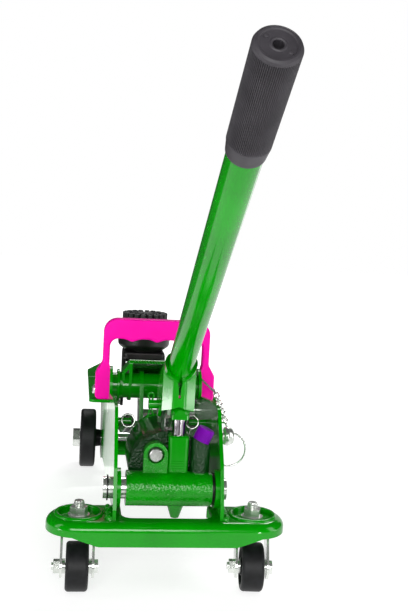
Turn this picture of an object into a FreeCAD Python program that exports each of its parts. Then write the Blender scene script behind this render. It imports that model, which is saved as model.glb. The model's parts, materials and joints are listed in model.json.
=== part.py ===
import FreeCAD, Part
import math
import os

os.makedirs("parts", exist_ok=True)
V = FreeCAD.Vector

# Fits and sheet
run = 0.05          # radial clearance of a turning or sliding shaft
side = 0.3          # gap between bodies that pass each other
sheet = 3.0         # steel sheet of the chassis and the lift arm

# Rear caster plate, a pressed pan
pan_half = 100.0
pan_r = 27.0
pan_top = 58.4
rim_low = 46.6
skirt_low = 39.3
skirt_flat = 57.0
skirt_end = 78.0
pan_edge = 7.5
notch_half = 38.0
notch_y = -11.0
stem_x = pan_half - pan_r
recess_r = 16.5
recess_deep = 2.0
bead_r = 1.9

# Casters
stem_r = 4.0
stem_top = 69.5
stem_head_r = 6.5
stem_head_low = 41.0
stem_head_high = 44.2
race_r = 14.0
race_high = 2.5
trail = 18.0
caster_r = 20.0
caster_half = 9.25
leg_sheet = 2.0
leg_out = 14.0
leg_end_r = 9.5
caster_axle_r = 3.0
right_turn = -5.0

# Side plates
plate_in = 43.0
plate_out = plate_in + sheet
plate_rear = -16.0
plate_front = 392.0
plate_top = 118.0
flange_out = 65.4
flange_y = 166.0
foot_y = pan_r
boss_r = 16.5
boss_high = 3.5

# Front axle
axle_y = 338.0
axle_r = 7.0
wheel_r = 34.0
tread_in = 52.8
tread_out = 70.4
axle_nut_af = 19.0
axle_nut_high = 8.0
tie_y = 265.0
tie_z = 42.0
tie_r = 8.0

# Power block
bar_y = 8.0
bar_z = 78.0
bar_r = 14.75
bar_left = -35.0
bar_right = 37.0
trunnion_r = 9.0
trunnion_left = -54.0
trunnion_right = 50.0
ram_z = 92.0
head_r = 32.5
head_y0 = 18.0
head_y1 = 34.0
pump_x = 8.0
pump_y = 14.0
pump_low = 95.0
pump_high = 123.3
pump_half = 8.6
pump_deep = 8.5
plunger_r = 5.7
plunger_low = 101.0
plunger_high = 137.4
plunger_head = 15.0
dome_r = 8.5
dome_z = 141.7
valve_half = 10.2
valve_x = pump_x - pump_half - side - valve_half
valve_z = 107.6
valve_y = 4.0
valve_hole_r = 7.2
screw_r = 5.4
overload_x = 27.0
overload_r = 8.2
overload_z = 119.3
cap_lean = 24.0
cap_r = 7.2
cap_high = 11.5
overload_y = head_y0 - cap_r - side

# Cylinder, reservoir and ram
tank_y = 78.0
tank_wall = 2.5
tank_cap = 5.0
cyl_r = 20.0
bore_r = 14.0
cyl_y = 126.0
gland_r = 22.0
gland_y = 132.0
ram_r = 12.0
ram_back = 7.2      # ram's travel behind its rest
piston_y0 = head_y1 + ram_back + side
piston_y1 = piston_y0 + 12
clevis_y0 = 143.5
clevis_y1 = 169.0
clevis_z0 = 76.5
clevis_z1 = 110.5
clevis_half = 11.7

# Handle, socket and fulcrum
hand_x = 5.0
hand_z = 184.5      # height of the handle's axis above the caster stems
rise = 33.7         # handle's angle above level
tube_r = 10.75
tube_wall = 2.0
tube_low = -27.0
tube_end = 373.5
grip_long = 83.0
grip_cap = 4.0      # grip's end over the tube's end
grip_end = tube_end + grip_cap
grip_low = grip_end - grip_long
grip_r = 12.7
sleeve_wall = 2.5
sleeve_end = 14.0
cheek = 2.5
cheek_in = 11.1
ful_y = 39.0
ful_z = 143.3
ful_r = 4.0
lug_in = 8.0
wall_y = -4.5
wall_low = 145.8
wall_high = 180.0
wall_flat = 5.0     # half width of the wall's middle
wall_fold = 6.5     # how far its sides slope forward
press_gap = 0.6     # play between the press bridge and the plunger's dome

# Lift arm and saddle
piv_y = 173.0
piv_z = 132.0
head_y = 345.0
head_z = 105.0
piv_r = 8.0
tube_out = 12.5
arm_half = 21.0
arm_rear = 27.0
flare_half = 34.0
lug_reach = 42.0    # pivot to lug pin
lug_angle = 23.0    # lug pin behind straight down
lug_r = 6.0
lug_half = 34.0
lug_eye = 11.0
piv_eye = 15.0
lever_in = clevis_half + side
lever_out = 16.0
head_pin_r = 7.0
link_dy = 5.5       # levelling pivots, off the arm's pivots
link_dz = -25.0
link_r = 5.0
link_in = 38.6
link_out = 42.6
link_half = 6.0
link_eye = 8.5
carrier_in = 21.4
bridge_half = 21.0
bridge_low = 133.0
bridge_high = 141.0
spigot_r = 10.0
dish_r = 31.0
pad_r = 26.5
pad_low = 156.0
pad_high = 186.0
pad_hub = 9.0
pad_grooves = 20

# Carry handle
carry_half = 53.5
carry_in = 46.8
carry_foot = 60.0
carry_low = plate_top
carry_high = 200.0
foot_share = 19 / 41        # height of the feet, of the handle's whole height
carry_slope = 11.0
carry_bar = 20.0
carry_deep = 14.0
carry_neck = carry_low + (carry_high - carry_low) * foot_share
carry_knee = carry_neck - carry_slope
carry_grip = carry_high - carry_bar
carry_y0 = flange_y
carry_y1 = carry_y0 + carry_deep
carry_edge = 2.0

# Return springs, lock pin and chain
spring_x = 30.0
spring_y = 98.0
spring_z = 113.5
spring_r = 7.0
spring_wire = 2.0
peg_r = 3.0
lock_y = 75.0
lock_z = 107.0
lock_r = 4.0
ring_r = 15.6
ring_wire = 0.9
ring_x = 62.8
ring_z = 94.5
chain_wire = 0.9
chain_links = 8
hook_back = 12.0    # hook's foot, behind the lift pivot
hook_up = 11.0
chain_back = 23.0   # chain's upper end, behind the lift pivot
chain_down = 1.0
chain_out = 14.0
catch_out = 15.0    # chain's lower end, at the lock pin's ring
catch_off = 7.5


def on_x(x):
    return lambda p: V(x, p[0], p[1])


def on_y(y):
    return lambda p: V(p[0], y, p[1])


def on_z(z):
    return lambda p: V(p[0], p[1], z)


def box(x0, x1, y0, y1, z0, z1):
    return Part.makeBox(x1 - x0, y1 - y0, z1 - z0, V(x0, y0, z0))


def rod_x(x0, x1, y, z, r):
    return Part.makeCylinder(r, x1 - x0, V(x0, y, z), V(1, 0, 0))


def rod_y(y0, y1, x, z, r):
    return Part.makeCylinder(r, y1 - y0, V(x, y0, z), V(0, 1, 0))


def rod_z(z0, z1, x, y, r):
    return Part.makeCylinder(r, z1 - z0, V(x, y, z0), V(0, 0, 1))


def joined(shapes):
    return shapes[0].multiFuse(shapes[1:]).removeSplitter()


def moved(shape, x, y, z):
    copy = shape.copy()
    copy.translate(V(x, y, z))
    return copy


def turned_by(shape, base, axis, angle):
    copy = shape.copy()
    copy.rotate(base, axis, angle)
    return copy


def mirrored(shape):
    return shape.mirror(V(0, 0, 0), V(1, 0, 0))


# Closed outline with corners (u, v, corner radius).
def rounded(points, place):
    count = len(points)
    spans = []
    for i in range(count):
        u, v, radius = points[i]
        legs = []
        for other in (points[i - 1], points[(i + 1) % count]):
            length = math.hypot(other[0] - u, other[1] - v)
            legs.append(((other[0] - u) / length, (other[1] - v) / length))
        if radius == 0:
            spans.append(((u, v), None, (u, v)))
            continue
        dot = legs[0][0] * legs[1][0] + legs[0][1] * legs[1][1]
        half = math.acos(dot) / 2
        reach = radius / math.tan(half)
        inward = radius / math.sin(half) - radius
        mid = (legs[0][0] + legs[1][0], legs[0][1] + legs[1][1])
        size = math.hypot(mid[0], mid[1])
        spans.append((
            (u + legs[0][0] * reach, v + legs[0][1] * reach),
            (u + mid[0] / size * inward, v + mid[1] / size * inward),
            (u + legs[1][0] * reach, v + legs[1][1] * reach)))
    edges = []
    for i in range(count):
        start, mid, end = spans[i]
        if mid:
            edges.append(Part.Arc(place(start), place(mid), place(end)).toShape())
        after = spans[(i + 1) % count][0]
        if math.hypot(after[0] - end[0], after[1] - end[1]) > 1e-6:
            edges.append(Part.makeLine(place(end), place(after)))
    return Part.Face(Part.Wire(edges))


# Outline of a belt laid counter-clockwise round circles (u, v, r).
def belt(circles, place):
    count = len(circles)
    normals = []
    for i in range(count):
        a = circles[i]
        b = circles[(i + 1) % count]
        along = math.atan2(b[1] - a[1], b[0] - a[0])
        length = math.hypot(b[0] - a[0], b[1] - a[1])
        normals.append(along - math.pi / 2 + math.asin((a[2] - b[2]) / length))
    edges = []
    for i in range(count):
        u, v, r = circles[i]
        first = normals[i - 1]
        sweep = (normals[i] - first) % (2 * math.pi)
        at = [(u + r * math.cos(first + sweep * part), v + r * math.sin(first + sweep * part))
              for part in (0, 0.5, 1)]
        if r > 0 and sweep > 1e-6:
            edges.append(Part.Arc(place(at[0]), place(at[1]), place(at[2])).toShape())
        b = circles[(i + 1) % count]
        touch = (b[0] + b[2] * math.cos(normals[i]), b[1] + b[2] * math.sin(normals[i]))
        edges.append(Part.makeLine(place(at[2]), place(touch)))
    return Part.Face(Part.Wire(edges))


def plate_x(face_at, points, x0, x1):
    return face_at(points, on_x(x0)).extrude(V(x1 - x0, 0, 0))


def plate_y(face_at, points, y0, y1):
    return face_at(points, on_y(y0)).extrude(V(0, y1 - y0, 0))


def plate_z(face_at, points, z0, z1):
    return face_at(points, on_z(z0)).extrude(V(0, 0, z1 - z0))


# Solid turned about Z from an outline of (radius, height, corner radius).
def turned(points):
    return rounded(points, on_y(0)).revolve(V(0, 0, 0), V(0, 0, 1), 360)


def turned_x(points):
    return turned_by(turned(points), V(0, 0, 0), V(0, 1, 0), 90)


def hexagon_x(af, x0, x1, y, z):
    reach = af / math.sqrt(3)
    points = [(y + reach * math.cos(math.radians(60 * k)), z + reach * math.sin(math.radians(60 * k)), 0)
              for k in range(6)]
    return plate_x(rounded, points, x0, x1)


def edges_at_z(shape, z):
    return [e for e in shape.Edges if abs(e.BoundBox.ZMin - z) < 1e-4 and abs(e.BoundBox.ZMax - z) < 1e-4]


def edges_at_y(shape, y):
    return [e for e in shape.Edges if abs(e.BoundBox.YMin - y) < 1e-4 and abs(e.BoundBox.YMax - y) < 1e-4]


nodes = {}


# Rear caster plate
def stadium(half, radius, z0, z1):
    circles = [(radius - half, 0, radius), (half - radius, 0, radius)]
    return plate_z(belt, circles, z0, z1)


pan = stadium(pan_half, pan_r, skirt_low, pan_top)
pan = pan.makeFillet(pan_edge, edges_at_z(pan, pan_top))
hollow = stadium(pan_half - sheet, pan_r - sheet, skirt_low - 1, pan_top - sheet)
hollow = hollow.makeFillet(pan_edge - sheet, edges_at_z(hollow, pan_top - sheet))
pan = pan.cut(hollow)
skirt = plate_y(rounded, [
    (-skirt_end, rim_low, 0), (-skirt_flat, skirt_low, 8), (skirt_flat, skirt_low, 8),
    (skirt_end, rim_low, 0)], -pan_r - 1, -pan_r + 7)
below = box(-pan_half - 1, pan_half + 1, -pan_r - 1, pan_r + 1, skirt_low - 1, rim_low)
pan = pan.cut(below.cut(skirt))
pan = pan.cut(plate_z(rounded, [
    (-notch_half, notch_y, 9), (notch_half, notch_y, 9), (notch_half, pan_r + 3, 0),
    (-notch_half, pan_r + 3, 0)], skirt_low - 1, pan_top + 1))
recess_z = pan_top - recess_deep
for x in (-stem_x, stem_x):
    pan = pan.fuse(rod_z(recess_z - sheet, recess_z, x, 0, recess_r + 1.5))
    pan = pan.fuse(Part.makeTorus(recess_r + bead_r + 0.2, bead_r, V(x, 0, pan_top), V(0, 0, 1)))
    pan = pan.cut(rod_z(recess_z, pan_top + 5, x, 0, recess_r))
    pan = pan.cut(rod_z(skirt_low, pan_top, x, 0, stem_r))
nodes["caster_plate"] = pan.removeSplitter()

# Casters, built about the left stem's own axis
race_low = recess_z - sheet - race_high
fork_high = race_low - side
fork_low = stem_head_high + side
fork_plate = fork_low + 2.5
stem = turned([
    (0, stem_head_low, 0), (stem_head_r, stem_head_low, 1), (stem_head_r, stem_head_high, 0),
    (stem_r, stem_head_high, 0), (stem_r, race_low, 0), (race_r, race_low, 0),
    (race_r, recess_z - sheet, 0), (stem_r, recess_z - sheet, 0), (stem_r, stem_top, 0.8),
    (0, stem_top, 0)])
washer_high = 1.5
nut_reach = 13.0 / math.sqrt(3)
nut_outline = [(nut_reach * math.cos(math.radians(60 * k + 10)),
                nut_reach * math.sin(math.radians(60 * k + 10)), 0) for k in range(6)]
stem_nut = joined([
    rod_z(recess_z, recess_z + washer_high, 0, 0, 9),
    plate_z(rounded, nut_outline, recess_z + washer_high, recess_z + washer_high + 6.5)])
stem_nut = stem_nut.cut(rod_z(recess_z - 1, stem_top, 0, 0, stem_r))
leg_in = leg_out - leg_sheet
spacer_in = caster_half + side
fork = [
    rod_z(fork_low, fork_plate, 0, 0, race_r),
    rod_z(fork_plate, fork_high, 0, 0, race_r + 1),
    plate_z(rounded, [(-leg_out, -12, 4), (leg_out, -12, 4), (leg_out, 10, 5), (-leg_out, 10, 5)],
            fork_low, fork_plate)]
leg = [(-trail, caster_r, leg_end_r), (9, fork_plate, 0), (-11, fork_plate, 0)]
for x in (-leg_out, leg_in):
    fork.append(plate_x(belt, leg, x, x + leg_sheet))
for x in (-leg_in, spacer_in):
    fork.append(rod_x(x, x + leg_in - spacer_in, -trail, caster_r, 6))
fork = joined(fork)
fork = fork.cut(rod_z(fork_low - 1, fork_high + 1, 0, 0, stem_r + run))
fork = fork.cut(rod_x(-leg_out - 1, leg_out + 1, -trail, caster_r, caster_axle_r))
axle = joined([
    rod_x(-leg_out - 6.5, leg_out, -trail, caster_r, caster_axle_r),
    hexagon_x(10, -leg_out - 5, -leg_out, -trail, caster_r),
    rod_x(leg_out, leg_out + 3, -trail, caster_r, 5.5)])
caster = turned_x([
    (caster_axle_r + run, -caster_half, 0), (7, -caster_half, 0), (8, 2 - caster_half, 0),
    (14, 2 - caster_half, 0), (15.5, -caster_half, 0), (caster_r, -caster_half, 3),
    (caster_r, caster_half, 3), (15.5, caster_half, 0), (14, caster_half - 2, 0),
    (8, caster_half - 2, 0), (7, caster_half, 0), (caster_axle_r + run, caster_half, 0)])
caster = moved(caster, 0, -trail, caster_r)
for name, x, turn in (("left", -stem_x, 0), ("right", stem_x, right_turn)):
    nodes["stem_" + name] = moved(stem, x, 0, 0)
    nodes["stem_nut_" + name] = moved(stem_nut, x, 0, 0)
    for piece, shape in (("caster_fork", fork), ("caster_axle", axle), ("caster_wheel", caster)):
        nodes[piece + "_" + name] = moved(turned_by(shape, V(0, 0, 0), V(0, 0, 1), turn), x, 0, 0)

# Side plates, with the levelling studs' and the spring pegs' places
stud_y = piv_y + link_dy
stud_z = piv_z + link_dz
plate = [
    plate_x(rounded, [
        (plate_rear, pan_top, 0), (foot_y, pan_top, 0), (120, 50, 20), (axle_y - 68, 30, 20),
        (axle_y - 16, 14, 16), (axle_y + 12, 14, 16), (plate_front, 66, 12),
        (plate_front, plate_top, 10), (flange_y, plate_top, 20), (144, 129, 10), (77, 139.5, 40),
        (30, 142.5, 9), (-2, 102, 30), (plate_rear, 66, 4)],
        plate_in, plate_out),
    rod_x(plate_in, plate_out, piv_y, piv_z, 19),
    rod_x(plate_in - boss_high, plate_in, bar_y, bar_z, boss_r),
    plate_z(rounded, [
        (plate_in + 1, flange_y, 0), (flange_out, flange_y, 6), (flange_out, 330, 8),
        (plate_out + 1, plate_front - 10, 0), (plate_in + 1, plate_front - 10, 0)],
        plate_top - sheet, plate_top)]
plate = joined(plate)
for y, z, r in ((bar_y, bar_z, trunnion_r), (piv_y, piv_z, piv_r), (axle_y, wheel_r, axle_r),
                (stud_y, stud_z, link_r), (spring_y, spring_z, peg_r)):
    plate = plate.cut(rod_x(plate_in - 2 * boss_high, plate_out + boss_high, y, z, r))
nodes["side_plate_left"] = mirrored(plate)
nodes["side_plate_right"] = plate.cut(rod_x(plate_in - 1, plate_out + 1, lock_y, lock_z, lock_r + run))

# Front axle, wheels and tie bar
hub_out = tread_out + side
axle_end = hub_out + side + axle_nut_high
nodes["front_axle"] = joined([
    rod_x(-axle_end, axle_end, axle_y, wheel_r, axle_r),
    hexagon_x(axle_nut_af, hub_out + side, axle_end, axle_y, wheel_r),
    hexagon_x(axle_nut_af, -axle_end, -hub_out - side, axle_y, wheel_r)])
wheel = turned_x([
    (axle_r + run, plate_out + side, 0), (9.5, plate_out + side, 0), (10.5, tread_in, 0),
    (22, tread_in + 2.5, 3), (25, tread_in, 0), (wheel_r, tread_in, 3), (wheel_r, tread_out, 3),
    (26, tread_out, 0), (23, tread_out - 4, 2), (13, tread_out - 4, 2), (11, hub_out, 0),
    (axle_r + run, hub_out, 0)])
wheel = moved(wheel, 0, axle_y, wheel_r)
nodes["front_wheel_right"] = wheel
nodes["front_wheel_left"] = mirrored(wheel)
nodes["tie_bar"] = rod_x(-plate_in, plate_in, tie_y, tie_z, tie_r)

# Power block, one casting
cap_way = V(math.sin(math.radians(cap_lean)), 0, math.cos(math.radians(cap_lean)))
cap_seat = V(overload_x, overload_y, overload_z)
overload_boss = rod_z(bar_z, overload_z + 6, overload_x, overload_y, overload_r)
overload_boss = overload_boss.cut(Part.makeCylinder(20, 20, cap_seat, cap_way))
head = rod_y(head_y0, head_y1, 0, ram_z, head_r)
head = head.cut(box(
    pump_x - pump_half - side, pump_x + pump_half + side, head_y0 - 1, pump_y + pump_deep + side,
    pump_low, pump_high + 10))
lug = joined([
    plate_x(rounded, [
        (24, 112, 0), (head_y1, 112, 0), (head_y1, 130.5, 3), (ful_y + 6, ful_z - 5.3, 0),
        (ful_y - 6, ful_z + 5.3, 0), (24, 127, 8)], lug_in, cheek_in - side),
    rod_x(lug_in, cheek_in - side, ful_y, ful_z, 8)])
pump_outline = [
    (pump_x - pump_half, pump_y - pump_deep, 3), (pump_x + pump_half, pump_y - pump_deep, 3),
    (pump_x + pump_half, pump_y + pump_deep, 3), (pump_x - pump_half, pump_y + pump_deep, 3)]
block = joined([
    rod_x(bar_left, bar_right, bar_y, bar_z, bar_r),
    head,
    plate_z(rounded, pump_outline, bar_z, pump_low),
    plate_y(belt, [
        (valve_x - valve_half, bar_z, 0), (valve_x + valve_half, bar_z, 0),
        (valve_x, valve_z, valve_half)], valve_y, head_y0 + 1),
    overload_boss,
    moved(Part.makeCone(3.6, 7.6, 12), pump_x, bar_y + 2, bar_z - bar_r - 10.8),
    moved(lug, hand_x, 0, 0),
    moved(mirrored(lug), hand_x, 0, 0)])
pump_bore = plunger_r + run
valve_floor = head_y0 - 1
block = block.cut(rod_z(pump_low - 6, pump_low, pump_x, pump_y, pump_bore))
block = block.cut(rod_y(valve_y - 1, valve_y + 8, valve_x, valve_z, valve_hole_r))
block = block.cut(rod_y(valve_y, valve_floor + side, valve_x, valve_z, screw_r + run))
block = block.cut(rod_x(-60, 60, ful_y, ful_z, ful_r))
nodes["power_block"] = block.removeSplitter()
nodes["trunnion_left"] = rod_x(trunnion_left, bar_left, bar_y, bar_z, trunnion_r)
nodes["trunnion_right"] = rod_x(bar_right, trunnion_right, bar_y, bar_z, trunnion_r)
cap = Part.makeCylinder(cap_r, cap_high, cap_seat, cap_way)
rim = [e for e in cap.Edges if e.Length > cap_r and e.CenterOfMass.z > overload_z + cap_high / 2]
nodes["overload_cap"] = cap.makeFillet(1.2, rim)
screw = rod_y(valve_y - 2, valve_floor, valve_x, valve_z, screw_r)
nodes["release_screw"] = screw.cut(box(
    valve_x - 10, valve_x + 10, valve_y - 3, valve_y, valve_z - 0.7, valve_z + 0.7))

# Pump
pump = plate_z(rounded, pump_outline, pump_low, pump_high)
pump = pump.makeChamfer(1.2, edges_at_z(pump, pump_high))
nodes["pump_cylinder"] = pump.cut(rod_z(pump_low, pump_high, pump_x, pump_y, pump_bore))
nodes["plunger"] = rod_z(plunger_low, plunger_high, pump_x, pump_y, plunger_r)
half = plunger_head / 2
dome = Part.makeSphere(dome_r, V(pump_x, pump_y, dome_z))
foot = plate_z(rounded, [
    (pump_x - half, pump_y - half, 2), (pump_x + half, pump_y - half, 2),
    (pump_x + half, pump_y + half, 2), (pump_x - half, pump_y + half, 2)], plunger_high, dome_z + dome_r)
nodes["plunger_head"] = foot.common(joined([
    dome, box(pump_x - half, pump_x + half, pump_y - half, pump_y + half, plunger_high, dome_z)]))

# Reservoir, cylinder and ram
tank = rod_y(head_y1, tank_y, 0, ram_z, head_r)
plug_y = (head_y1 + tank_y) / 2
tank = tank.cut(rod_y(head_y1, tank_y, 0, ram_z, head_r - tank_wall))
plug_hole = rod_z(ram_z + cyl_r, ram_z + head_r + 10, 0, plug_y, 4)
nodes["reservoir"] = tank.cut(plug_hole)
plug = joined([
    rod_z(ram_z + head_r - tank_wall - 2, ram_z + head_r, 0, plug_y, 4),
    rod_z(ram_z + head_r - 1, ram_z + head_r + 4, 0, plug_y, 6.5)])
nodes["filler_plug"] = plug.cut(nodes["reservoir"])
end = rod_y(tank_y, tank_y + tank_cap, 0, ram_z, head_r)
end = end.makeFillet(3, edges_at_y(end, tank_y + tank_cap))
nodes["reservoir_cap"] = end.cut(rod_y(tank_y, tank_y + tank_cap, 0, ram_z, cyl_r))
nodes["cylinder"] = rod_y(head_y1, cyl_y, 0, ram_z, cyl_r).cut(rod_y(head_y1, cyl_y, 0, ram_z, bore_r))
gland = rod_y(cyl_y, gland_y, 0, ram_z, gland_r)
gland = gland.makeChamfer(1.5, edges_at_y(gland, gland_y))
nodes["gland"] = gland.cut(rod_y(cyl_y, gland_y, 0, ram_z, ram_r + run))
nodes["ram"] = joined([
    rod_y(piston_y0, piston_y1, 0, ram_z, bore_r - run),
    rod_y(piston_y1, clevis_y0, 0, ram_z, ram_r)])

# Ram head: the lug pin rides up and down in its slot as the arm swings
lug_y = piv_y - lug_reach * math.sin(math.radians(lug_angle))
lug_z = piv_z - lug_reach * math.cos(math.radians(lug_angle))
slot_half = lug_r + 0.8 + side
slot_low = piv_z - lug_reach - lug_r - 2 * side
slot_high = slot_low + 20
clevis = plate_x(rounded, [
    (clevis_y0, clevis_z0, 5), (clevis_y1, clevis_z0, 8), (clevis_y1, clevis_z1, 8),
    (clevis_y0, clevis_z1, 5)], -clevis_half, clevis_half)
slot = plate_x(rounded, [
    (lug_y - slot_half, slot_low, 4), (lug_y + slot_half, slot_low, 4),
    (lug_y + slot_half, slot_high, 4), (lug_y - slot_half, slot_high, 4)],
    -clevis_half - 1, clevis_half + 1)
nodes["ram_head"] = clevis.cut(slot)

# Fulcrum pin
cheek_out = cheek_in + cheek
pin_head = hand_x + cheek_out + side
nodes["fulcrum_pin"] = joined([
    rod_x(hand_x - cheek_out - 8, pin_head, ful_y, ful_z, ful_r),
    rod_x(pin_head, pin_head + 3, ful_y, ful_z, 6)])


# Handle pieces are turned about Z, then laid along the handle's axis.
def along_handle(shape):
    return moved(turned_by(shape, V(0, 0, 0), V(1, 0, 0), 90 - rise), hand_x, 0, hand_z)


# Socket: folded sheet with a split sleeve, cheeks, a press bridge and a rear wall
sleeve_bore = tube_r + 2 * run
sleeve_r = sleeve_bore + sleeve_wall
sleeve = rod_z(tube_low - side - sheet, sleeve_end, 0, 0, sleeve_r)
mouth = Part.makeCylinder(16, 2 * sleeve_r + 2, V(0, -sleeve_r - 1, sleeve_end + 2), V(0, 1, 0))
seam = box(-1.2, 1.2, -sleeve_r - 1, 0, tube_low + 12, sleeve_end + 1)
bore = rod_z(tube_low - side, sleeve_end + 60, 0, 0, sleeve_bore)
bridge_z = dome_z + dome_r + press_gap
wall_side = wall_y + wall_fold
flank = plate_x(rounded, [
    (wall_side, wall_low, 2), (ful_y - 8, wall_low, 0), (ful_y, ful_z, 0), (ful_y + 11, ful_z, 0),
    (ful_y + 7, ful_z + 18, 8), (ful_y - 9, hand_z - 10.5, 0), (wall_side, hand_z + 1.5, 2)],
    cheek_in, cheek_out)
flank = flank.fuse(rod_x(cheek_in, cheek_out, ful_y, ful_z, 11))
wall = plate_z(rounded, [
    (-cheek_out, wall_side, 0), (-wall_flat, wall_y, 4), (wall_flat, wall_y, 4), (cheek_out, wall_side, 0),
    (cheek_out, wall_side + cheek, 0), (wall_flat, wall_y + cheek, 2), (-wall_flat, wall_y + cheek, 2),
    (-cheek_out, wall_side + cheek, 0)], wall_low, wall_high)
wall = wall.cut(plate_y(rounded, [
    (-cheek_out - 1, wall_low - 1, 0), (cheek_out + 1, wall_low - 1, 0), (cheek_out + 1, wall_low, 0),
    (0, bridge_z, 2), (-cheek_out - 1, wall_low, 0)], wall_y - 1, wall_side + cheek + 1))
slit_low = bridge_z + sheet + 4
wall = wall.cut(plate_y(rounded, [
    (-0.9, slit_low, 0.8), (0.9, slit_low, 0.8), (0.9, slit_low + 8, 0), (4, wall_high, 0),
    (-4, wall_high, 0), (-0.9, slit_low + 8, 0)], wall_y - 1, wall_y + cheek + 1))
press = plate_z(rounded, [
    (-cheek_in, wall_side, 0), (-wall_flat, wall_y + 1, 0), (wall_flat, wall_y + 1, 0),
    (cheek_in, wall_side, 0), (cheek_in, ful_y - 11, 0), (-cheek_in, ful_y - 11, 0)],
    bridge_z, bridge_z + sheet)
frame = [flank, mirrored(flank), wall, press]
frame = [moved(shape, hand_x, 0, 0) for shape in frame]
socket = joined([along_handle(sleeve.cut(mouth).cut(seam))] + frame)
socket = socket.cut(along_handle(bore))
nodes["handle_socket"] = socket.cut(rod_x(-60, 60, ful_y, ful_z, ful_r + run))

# Handle
tube = rod_z(tube_low, tube_end, 0, 0, tube_r).cut(rod_z(tube_low, tube_end, 0, 0, tube_r - tube_wall))
nodes["handle_tube"] = along_handle(tube)
grip = turned([
    (tube_r, grip_low, 0), (tube_r + 0.9, grip_low, 0), (grip_r - 0.3, grip_low + 7, 0),
    (grip_r, grip_low + 9, 0), (grip_r, grip_end, 2.5), (2, grip_end, 0), (2, tube_end, 0),
    (tube_r, tube_end, 0)])
nodes["grip"] = along_handle(grip)


# Plan of the lift arm, wider at the cross tube than at the saddle
def arm_plan(inset):
    half = arm_half - inset
    rear = arm_rear - inset
    corners = [(rear, piv_y - 60, 0), (rear, piv_y + 17, 30), (half, piv_y + 62, 30), (half, head_y + 30, 0)]
    other = [(-x, y, r) for x, y, r in corners[::-1]]
    return plate_z(rounded, corners + other, piv_z - 90, piv_z + 60)


# Lift arm: inverted channel with flares on the cross tube
nose = (head_y + 1.5, head_z + 5.5)
heel = (piv_y - 9, piv_z + 24)
arm = plate_x(belt, [
    (piv_y, piv_z, piv_eye), (head_y, head_z, 13), (nose[0], nose[1], 10), (heel[0], heel[1], 4)],
    -arm_rear, arm_rear)
inside = plate_x(belt, [
    (heel[0], piv_z - 60, 0), (head_y + 4, head_z - 25, 0), (nose[0], nose[1], 10 - sheet),
    (heel[0], heel[1], 4 - sheet)], -arm_rear, arm_rear)
inside = inside.fuse(box(
    -arm_rear, arm_rear, piv_y - 40, heel[0] + 1, piv_z - 60, heel[1] + 4 - sheet))
arm = arm.common(arm_plan(0)).cut(inside.common(arm_plan(sheet)))
flare = plate_y(rounded, [
    (arm_rear - 1, piv_z + 24, 0), (arm_rear, piv_z + 24, 0), (flare_half, piv_z + 15, 3),
    (flare_half, piv_z, 0), (flare_half - sheet, piv_z, 0), (flare_half - sheet, piv_z + 14, 1),
    (arm_rear - 1, piv_z + 20, 0)], piv_y - 11, piv_y + 11)
arm = joined([arm, flare, mirrored(flare)])
arm = arm.cut(rod_x(-flare_half, flare_half, piv_y, piv_z, tube_out))

# Cross tube with its levers, lug pin and head pin
nodes["lift_arm"] = arm.cut(rod_x(-arm_half, arm_half, head_y, head_z, head_pin_r))
lever = plate_x(belt, [(lug_y, lug_z, lug_eye), (piv_y, piv_z, piv_eye)], lever_in, lever_out)
cross = joined([rod_x(side - plate_in, plate_in - side, piv_y, piv_z, tube_out), lever, mirrored(lever)])
cross = cross.cut(rod_x(-plate_in, plate_in, piv_y, piv_z, piv_r + run))
nodes["cross_tube"] = cross.cut(rod_x(-plate_in, plate_in, lug_y, lug_z, lug_r))
nodes["pivot_shaft"] = rod_x(-plate_out, plate_out, piv_y, piv_z, piv_r)
nodes["lug_pin"] = rod_x(-lug_half, lug_half, lug_y, lug_z, lug_r)
carrier_out = carrier_in + sheet
nodes["head_pin"] = rod_x(-carrier_out - 2.6, carrier_out + 2.6, head_y, head_z, head_pin_r)

# Levelling links, their studs and the saddle carrier
low_y = head_y + link_dy
low_z = head_z + link_dz
link = joined([
    plate_x(belt, [(stud_y, stud_z, link_half), (low_y, low_z, link_half)], link_in, link_out),
    rod_x(link_in, link_out, stud_y, stud_z, link_eye),
    rod_x(link_in, link_out, low_y, low_z, link_eye)])
link = link.cut(rod_x(link_in, link_out, stud_y, stud_z, link_r + run))
link = link.cut(rod_x(link_in, link_out, low_y, low_z, link_r + side))
stud = joined([
    rod_x(link_in - 1.3, plate_out, stud_y, stud_z, link_r),
    rod_x(link_in - 1.3, link_in - side, stud_y, stud_z, 7.5)])
link_pin = joined([
    rod_x(carrier_in, link_out - side, low_y, low_z, link_r),
    rod_x(carrier_out, link_in - side, low_y, low_z, 7)])
for name, flip in (("left", True), ("right", False)):
    for piece, shape in (("level_link", link), ("link_stud", stud), ("link_pin", link_pin)):
        nodes[piece + "_" + name] = mirrored(shape) if flip else shape
jaw = plate_x(belt, [(low_y, low_z, 8.5), (head_y + 16, bridge_low, 5), (head_y - 16, bridge_low, 5)],
              carrier_in, carrier_out)
jaw = jaw.cut(rod_x(carrier_in, carrier_out, head_y, head_z, head_pin_r + run))
jaw = jaw.cut(rod_x(carrier_in, carrier_out, low_y, low_z, link_r))
bridge = plate_z(rounded, [
    (-carrier_out, head_y - bridge_half, 5), (carrier_out, head_y - bridge_half, 5),
    (carrier_out, head_y + bridge_half, 5), (-carrier_out, head_y + bridge_half, 5)],
    bridge_low, bridge_high)
bridge = bridge.makeFillet(2.5, edges_at_z(bridge, bridge_high))
carrier = joined([jaw, mirrored(jaw), bridge])
nodes["saddle_carrier"] = carrier.cut(rod_z(bridge_low, bridge_high, 0, head_y, spigot_r + run))

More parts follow.
